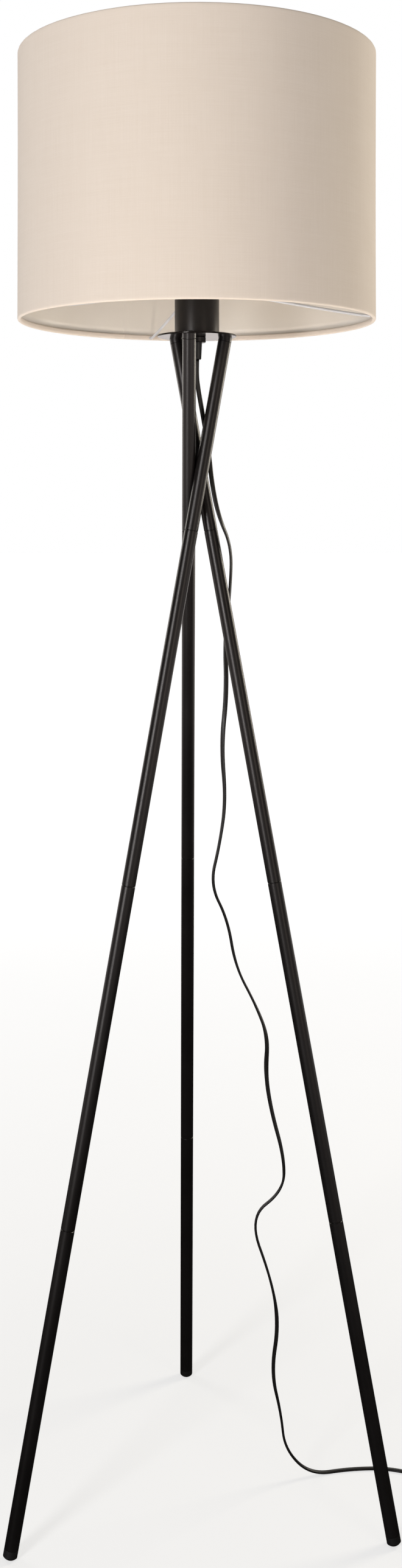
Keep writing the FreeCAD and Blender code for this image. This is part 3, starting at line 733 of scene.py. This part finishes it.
SHELL_RADIUS = 0.01375  # to the middle of its wall
SHELL_WALL = 0.0003
BULB_PITCH, BULB_DEPTH = 0.00363, 0.00040
SHELL_LEAD_IN, SHELL_RUN_OUT = 0.002, 0.001
SHELL_ROWS, SHELL_SIDES = 84, 72


def add_thread_shell():
    """The lampholder's rolled screw shell, with a bulb's rounded thread."""
    low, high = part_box("lampholder_thread_shell")
    heights = even_steps(low.z, high.z, SHELL_ROWS)
    outline = tube_outline(SHELL_RADIUS + SHELL_WALL / 2, SHELL_RADIUS - SHELL_WALL / 2, heights)

    def thread(radius, height, angle):
        started = smooth_step(low.z, low.z + SHELL_LEAD_IN, height)
        ended = smooth_step(high.z, high.z - SHELL_RUN_OUT, height)
        wave = math.cos(math.tau * height / BULB_PITCH - angle)
        return radius + BULB_DEPTH * started * ended * wave, height

    shell = lathe("lampholder_screw_shell", outline, spaced_angles(SHELL_SIDES), thread)
    dress(shell, "stand", "nickel_plate", "lampholder_thread_shell")


BUTTON_FOOT = ((-0.4, 0), (0, 0.4))  # mm outward from its radius and up from its bottom
BUTTON_EDGE = ((0, -2.2), (-0.3, -1.2), (-0.9, -0.3), (-1.8, 0))  # the same, up from its top
BUTTON_RIM = 0.0022
BUTTON_MIDDLE = 0.0002  # the radius at which the outline stops short of the axis
DISH_DEPTH, DISH_EDGE = 0.0009, 0.0002
GRIP_PITCH, GRIP_HEIGHT = 0.0016, 0.00018
PLAIN_MIDDLE = 0.0030
DISH_STEPS, BUTTON_SIDES = 44, 64


def add_foot_button():
    """The foot button: a dished top with raised grip rings."""
    low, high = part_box("switch_button")
    centre = (low + high) / 2
    radius = (high.x - low.x) / 2
    outline = [(BUTTON_MIDDLE, low.z)]
    outline += [(radius + out * MM, low.z + up * MM) for out, up in BUTTON_FOOT]
    outline += [(radius + out * MM, high.z + up * MM) for out, up in BUTTON_EDGE]
    reach = radius - BUTTON_RIM
    for i in range(DISH_STEPS):
        r = reach * (1 - i / DISH_STEPS)
        dish = DISH_DEPTH * (1 - (r / reach) ** 2)
        wave = 0.5 + 0.5 * math.cos(math.tau * r / GRIP_PITCH)
        ridge = GRIP_HEIGHT * wave if r > PLAIN_MIDDLE else 0.0
        outline.append((max(r, BUTTON_MIDDLE), high.z - DISH_EDGE - dish + ridge))
    button = lathe("foot_button_cap", outline, spaced_angles(BUTTON_SIDES), uv_radius=radius)
    for vertex in button.data.vertices:
        vertex.co.x += centre.x
        vertex.co.y += centre.y
    dress(button, "switch_button", "black_plastic", "switch_button")
    return button


# ---------------------------------------------------------------- studio

FLOOR_RADIUS, FLOOR_GAP = 40, 0.0002
FLOOR_BOUNCE = 0.55
ROOM_LIGHT = 0.16
WARM_AIR, WARM_FLOOR = (1, 0.95, 0.89, 1), (1, 0.93, 0.90, 1)
MIRRORED_ROOM, MIRRORED_BACKDROP = 0.02, 1.1
WHITE = (1, 1, 1)


def around_lamp(azimuth, distance, height):
    """A place round the lamp: 0 degrees is in front of it, and 90 degrees is at its right."""
    return tuple(polar(distance, math.radians(azimuth), height))


LIGHTS = (  # name, place, aim, size, power, colour, whether gloss mirrors it, spread in degrees
    ("key", around_lamp(-32, 2.3, 1.30), (0, 0, 1.25), (0.45, 1.5), 33.5, WHITE, True, 180),
    ("fill", around_lamp(38, 2.6, 1.30), (0, 0, 1.1), (0.9, 1.5), 7.0, (1, 0.90, 0.78), True, 180),
    ("right_rim", around_lamp(118, 1.8, 1.45), (0, 0, 1.38), (0.6, 1.1), 22, (1, 0.93, 0.78), True, 180),
    ("left_rim", around_lamp(-130, 1.8, 1.45), (0, 0, 1.38), (0.6, 1.1), 7, (1, 0.96, 0.90), True, 180),
    ("bounce", around_lamp(0, 0.35, 0.40), (0, 0.04, 1.3), (0.24, 0.10), 0.50, (1, 0.89, 0.77), False, 50),
    ("from_above", (0, 0, 1.50), (0, 0, 1), (0.26, 0.26), 0.18, (1, 0.92, 0.82), False, 180),
)


def add_area(name, place, aim, size, power, colour, mirrored, spread):
    data = bpy.data.lights.new(name, "AREA")
    data.shape = "RECTANGLE"
    data.size, data.size_y = size
    data.energy = power
    data.color = colour
    data.spread = math.radians(spread)
    light = bpy.data.objects.new(name, data)
    light.location = place
    light.rotation_euler = (Vector(aim) - Vector(place)).to_track_quat("-Z", "Y").to_euler()
    light.visible_glossy = mirrored
    bpy.context.scene.collection.objects.link(light)


def add_studio():
    """A pale floor and the lights: a key, a weak fill, one behind each side and two for the shade."""
    bpy.context.scene.view_settings.view_transform = "Standard"
    rim = [polar(FLOOR_RADIUS, angle, CAD_BOX[0].z - FLOOR_GAP) for angle in spaced_angles(96)]
    floor = new_piece("floor", rim, [tuple(range(len(rim)))], smooth=False)
    floor.data.materials.append(floor_finish())
    for light in LIGHTS:
        add_area(*light)
    light_world()


def by_ray(tree, seen, mirrored, lighting, output):
    """One shader for what the camera sees, one for what gloss reflects, and one for soft light."""
    rays = tree.nodes.new("ShaderNodeLightPath")
    gloss = tree.nodes.new("ShaderNodeMixShader")
    either = tree.nodes.new("ShaderNodeMixShader")
    for sockets in (
        (rays.outputs["Is Glossy Ray"], gloss.inputs[0]), (lighting.outputs[0], gloss.inputs[1]),
        (mirrored.outputs[0], gloss.inputs[2]), (rays.outputs["Is Camera Ray"], either.inputs[0]),
        (gloss.outputs[0], either.inputs[1]), (seen.outputs[0], either.inputs[2]),
        (either.outputs[0], output.inputs[0]),
    ):
        tree.links.new(*sockets)


def floor_finish():
    """Pale paper. It is seen and mirrored brighter away from the lamp, to meet what lies beyond."""
    material, shader = principled("pale_floor", Roughness=0.8, Specular_IOR_Level=0.1)
    place = coordinates(material)
    tone = noise(material, place, 3.0, 3.0)
    pale = blended(material, tone, grey(0.36), grey(0.33))
    away = node(material, "ShaderNodeVectorMath", {0: place}, operation="LENGTH").outputs["Value"]
    wire_in(material, shader, Base_Color=pale)
    tree = material.node_tree
    shines = []
    for strength in (
        ranged(material, away, 0.66, 1.0, 0.3, 3.0), FLOOR_BOUNCE,
        ranged(material, away, MIRRORED_ROOM, MIRRORED_BACKDROP, 2.2, 4.5),
    ):
        shines.append(node(material, "ShaderNodeEmission", {"Strength": strength}))
    shines[2].inputs["Color"].default_value = WARM_FLOOR
    sums = []
    for shine in shines[:2]:
        total = node(material, "ShaderNodeAddShader")
        tree.links.new(shader.outputs[0], total.inputs[0])
        tree.links.new(shine.outputs[0], total.inputs[1])
        sums.append(total)
    by_ray(tree, sums[0], shines[2], sums[1], tree.nodes["Material Output"])
    return material


def light_world():
    """White beyond the floor, dim warm light from it, and a bright backdrop that only gloss mirrors."""
    world = bpy.data.worlds.new("studio")
    bpy.context.scene.world = world
    world.use_nodes = True
    tree = world.node_tree
    seen, mirrored, lighting = (tree.nodes.new("ShaderNodeBackground") for _ in range(3))
    seen.inputs["Color"].default_value = (*WHITE, 1)
    for background in (mirrored, lighting):
        background.inputs["Color"].default_value = WARM_AIR
    lighting.inputs["Strength"].default_value = ROOM_LIGHT
    facing = node(world, "ShaderNodeSeparateXYZ", {"Vector": coordinates(world, "Generated")})
    backdrop = ranged(world, facing.outputs["Y"], MIRRORED_ROOM, MIRRORED_BACKDROP, 0.45, 0.95)
    tree.links.new(backdrop, mirrored.inputs["Strength"])
    by_ray(tree, seen, mirrored, lighting, tree.nodes["World Output"])


add_camera()
add_cord(add_foot_button())
dress_cad()
add_shade()
add_arms()
add_thread_shell()
add_studio()
